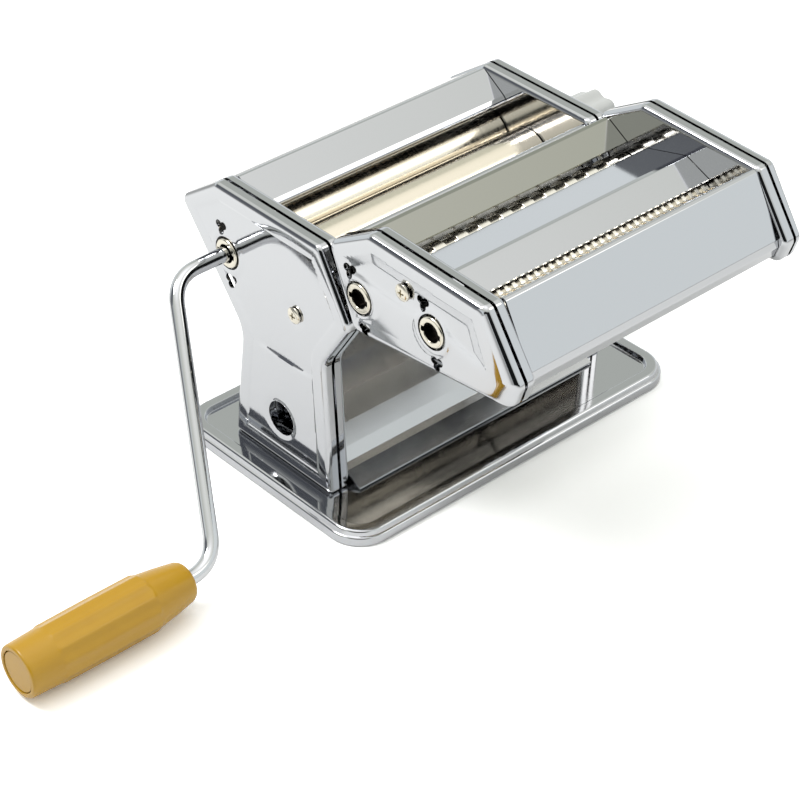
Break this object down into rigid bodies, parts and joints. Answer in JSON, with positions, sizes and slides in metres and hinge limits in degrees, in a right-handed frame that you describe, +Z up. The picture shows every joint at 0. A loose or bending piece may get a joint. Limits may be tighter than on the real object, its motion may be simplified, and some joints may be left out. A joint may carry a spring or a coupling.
{
  "type": "manual pasta machine",
  "caption": "Hand-cranked pasta roller with adjustable smooth rollers, a lift-off double noodle cutter, a thickness knob and a bent crank with a plastic handle.",
  "frame": {"origin": "centre of the base plate's underside, where the rubber feet are fixed; the table is 4 mm below it", "axes": "+X along the rollers towards the thickness knob (the crank is at -X), -Y towards the double cutter, +Z up"},
  "size_m": [0.381, 0.2116, 0.1544],
  "materials": {
    "mirror_chrome": "mirror-plated pressed steel sheet",
    "rod_chrome": "polished plated steel rod",
    "roller_steel": "ground steel, fine lines around the axis",
    "gear_steel": "plain machined steel",
    "nickel": "warm nickel plate",
    "bearing_brass": "plain machined brass",
    "yellow_plastic": "glossy moulded mustard-yellow plastic",
    "grey_plastic": "satin light grey moulded plastic",
    "foot_rubber": "matt black rubber"
  },
  "bodies": {
    "machine_body": {"base_plate": "mirror_chrome", "rubber_foot_fl": "foot_rubber", "rubber_foot_fr": "foot_rubber", "rubber_foot_bl": "foot_rubber", "rubber_foot_br": "foot_rubber", "body_outer_cover_crank_side": "mirror_chrome", "body_outer_cover_knob_side": "mirror_chrome", "body_inner_cover_crank_side": "mirror_chrome", "body_inner_cover_knob_side": "mirror_chrome", "body_screw_crank_side": "nickel", "body_screw_knob_side": "nickel", "tie_rod_screw": "rod_chrome", "tie_rod_rear": "rod_chrome", "tie_rod_leg": "rod_chrome", "pasta_chute": "mirror_chrome", "rear_panel": "mirror_chrome", "rear_hopper_guard": "mirror_chrome", "front_hopper_guard": "mirror_chrome", "rear_dough_scraper": "gear_steel", "knob_post": "nickel"},
    "drive_roller": {"drive_roller": "roller_steel", "drive_roller_gear": "gear_steel", "drive_socket": "nickel"},
    "crank": {"crank_rod": "rod_chrome"},
    "handle": {"crank_handle": "yellow_plastic", "handle_cap": "yellow_plastic"},
    "roller_carrier": {"adjuster_bearing_crank_side": "bearing_brass", "adjuster_bearing_knob_side": "bearing_brass", "front_dough_scraper": "gear_steel"},
    "adjustable_roller": {"adjustable_roller": "roller_steel", "adjustable_roller_gear": "gear_steel"},
    "knob_turntable": {"knob_spring": "gear_steel"},
    "knob": {"thickness_knob": "grey_plastic"},
    "cutter": {"cutter_outer_cover_crank_side": "mirror_chrome", "cutter_outer_cover_knob_side": "mirror_chrome", "cutter_inner_cover_crank_side": "mirror_chrome", "cutter_inner_cover_knob_side": "mirror_chrome", "cutter_screw_crank_side": "nickel", "cutter_screw_knob_side": "nickel", "cutter_tie_rod_middle": "rod_chrome", "cutter_tie_rod_front": "rod_chrome", "cutter_rear_guard": "mirror_chrome", "cutter_middle_guard": "mirror_chrome", "cutter_front_panel": "mirror_chrome"},
    "wide_driven": {"wide_cutter_driven": "roller_steel", "wide_driven_gear": "gear_steel", "wide_socket": "nickel"},
    "wide_front": {"wide_cutter_front": "roller_steel", "wide_front_gear": "gear_steel"},
    "thin_driven": {"thin_cutter_driven": "roller_steel", "thin_driven_gear": "gear_steel", "thin_socket": "nickel"},
    "thin_front": {"thin_cutter_front": "roller_steel", "thin_front_gear": "gear_steel"}
  },
  "joints": [
    {"name": "drive_spin", "type": "hinge", "parent": "machine_body", "child": "drive_roller", "pos_m": [0, 0.0385, 0.097], "axis": [1, 0, 0], "continuous": true},
    {"name": "crank_pull_out", "type": "slide", "parent": "drive_roller", "child": "crank", "axis": [-1, 0, 0], "range_m": [0, 0.05]},
    {"name": "handle_spin", "type": "hinge", "parent": "crank", "child": "handle", "pos_m": [-0.2, -0.04075, 0.01052], "axis": [1, 0, 0], "continuous": true},
    {"name": "thickness_slide", "type": "slide", "parent": "machine_body", "child": "roller_carrier", "axis": [0, -1, 0], "range_m": [0, 0.003]},
    {"name": "adjustable_spin", "type": "hinge", "parent": "roller_carrier", "child": "adjustable_roller", "pos_m": [0, 0.0113, 0.097], "axis": [1, 0, 0], "continuous": true},
    {"name": "knob_turn", "type": "hinge", "parent": "machine_body", "child": "knob_turntable", "pos_m": [0.105, 0.0113, 0.097], "axis": [1, 0, 0], "range_deg": [0, 320]},
    {"name": "knob_pull", "type": "slide", "parent": "knob_turntable", "child": "knob", "axis": [1, 0, 0], "range_m": [0, 0.005], "stiffness_N_per_m": 400, "springref_m": -0.004, "deforming": ["knob_spring"]},
    {"name": "cutter_lift", "type": "slide", "parent": "machine_body", "child": "cutter", "axis": [0, 0.4961, 0.8682], "range_m": [0, 0.06]},
    {"name": "wide_spin", "type": "hinge", "parent": "cutter", "child": "wide_driven", "pos_m": [0, -0.05, 0.117], "axis": [1, 0, 0], "continuous": true},
    {"name": "wide_front_spin", "type": "hinge", "parent": "cutter", "child": "wide_front", "pos_m": [0, -0.06507, 0.12104], "axis": [1, 0, 0], "continuous": true},
    {"name": "thin_spin", "type": "hinge", "parent": "cutter", "child": "thin_driven", "pos_m": [0, -0.094, 0.1225], "axis": [1, 0, 0], "continuous": true},
    {"name": "thin_front_spin", "type": "hinge", "parent": "cutter", "child": "thin_front", "pos_m": [0, -0.10907, 0.12654], "axis": [1, 0, 0], "continuous": true}
  ],
  "couplings": [
    {"joint": "adjustable_spin", "follows": "drive_spin", "ratio": -1},
    {"joint": "knob_turn", "follows": "thickness_slide", "rad_per_m": 1861.7},
    {"joint": "wide_front_spin", "follows": "wide_spin", "ratio": -1},
    {"joint": "thin_front_spin", "follows": "thin_spin", "ratio": -1}
  ]
}
